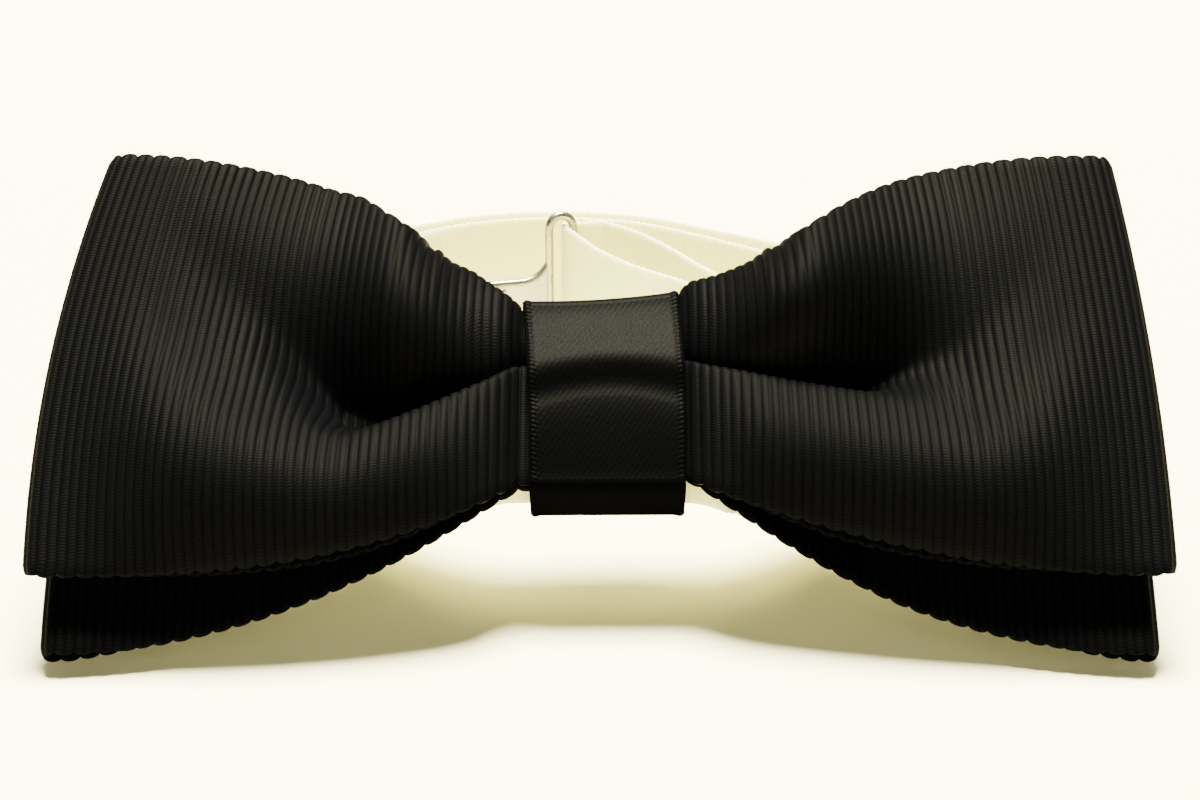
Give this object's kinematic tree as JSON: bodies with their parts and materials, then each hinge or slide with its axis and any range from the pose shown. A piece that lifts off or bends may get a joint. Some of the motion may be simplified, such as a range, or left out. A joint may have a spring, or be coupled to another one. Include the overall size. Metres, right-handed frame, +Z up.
{
  "type": "bow tie",
  "caption": "Ready-tied bow tie: stacked ribbed ribbon loops pinched by a satin centre band, on an adjustable neck strap with slide, hook and eye.",
  "frame": {"origin": "centre of the footprint on the table, under the whole object as it rests", "axes": "+X along the bow from its left wing to its right wing as seen from the front, +Y from the bow's front towards the coiled strap behind it, +Z up from the table"},
  "size_m": [0.1104, 0.1066, 0.0415],
  "materials": {
    "black_grosgrain": "ribbed grosgrain ribbon, matt black with a faint silk sheen",
    "black_satin": "black satin ribbon, soft directional gloss",
    "black_thread": "black sewing thread",
    "cream_grosgrain": "cream grosgrain ribbon, matt",
    "cream_thread": "cream sewing thread",
    "plated_metal": "nickel plated steel, lightly worn"
  },
  "bodies": {
    "neck_strap": {"long_neck_strap": "cream_grosgrain", "short_neck_strap": "cream_grosgrain", "eye_fold_stitches": "cream_thread"},
    "bow": {"front_bow_loop": "black_grosgrain", "rear_bow_loop": "black_grosgrain", "front_loop_seam": "black_thread", "rear_loop_seam": "black_thread", "gather_thread": "black_thread", "centre_band": "black_satin", "centre_band_seam": "black_thread", "strap_in_knot": "cream_grosgrain", "strap_anchor_stitches": "black_thread"},
    "slide": {"slide_adjuster": "plated_metal", "strap_end_loop": "cream_grosgrain", "end_loop_stitches": "cream_thread"},
    "hook": {"hook": "plated_metal"},
    "eye": {"eye_ring": "plated_metal"}
  },
  "joints": [
    {"name": "bow_tilt", "type": "hinge", "parent": "neck_strap", "child": "bow", "pos_m": [0, -0.0294, 0.01725], "axis": [1, 0, 0], "range_deg": [-8, 2]},
    {"name": "slide_travel", "type": "slide", "parent": "neck_strap", "child": "slide", "axis": [0.2577, 0.9662, 0], "range_m": [-0.007, 0.006]},
    {"name": "hook_swing", "type": "hinge", "parent": "neck_strap", "child": "hook", "pos_m": [-0.0036, 0.0384, 0.0114], "axis": [0, 0, 1], "range_deg": [-30, 40]},
    {"name": "eye_swing", "type": "hinge", "parent": "neck_strap", "child": "eye", "pos_m": [0.0436, 0.0006, 0.0114], "axis": [0, 0, 1], "range_deg": [-70, 70]}
  ]
}
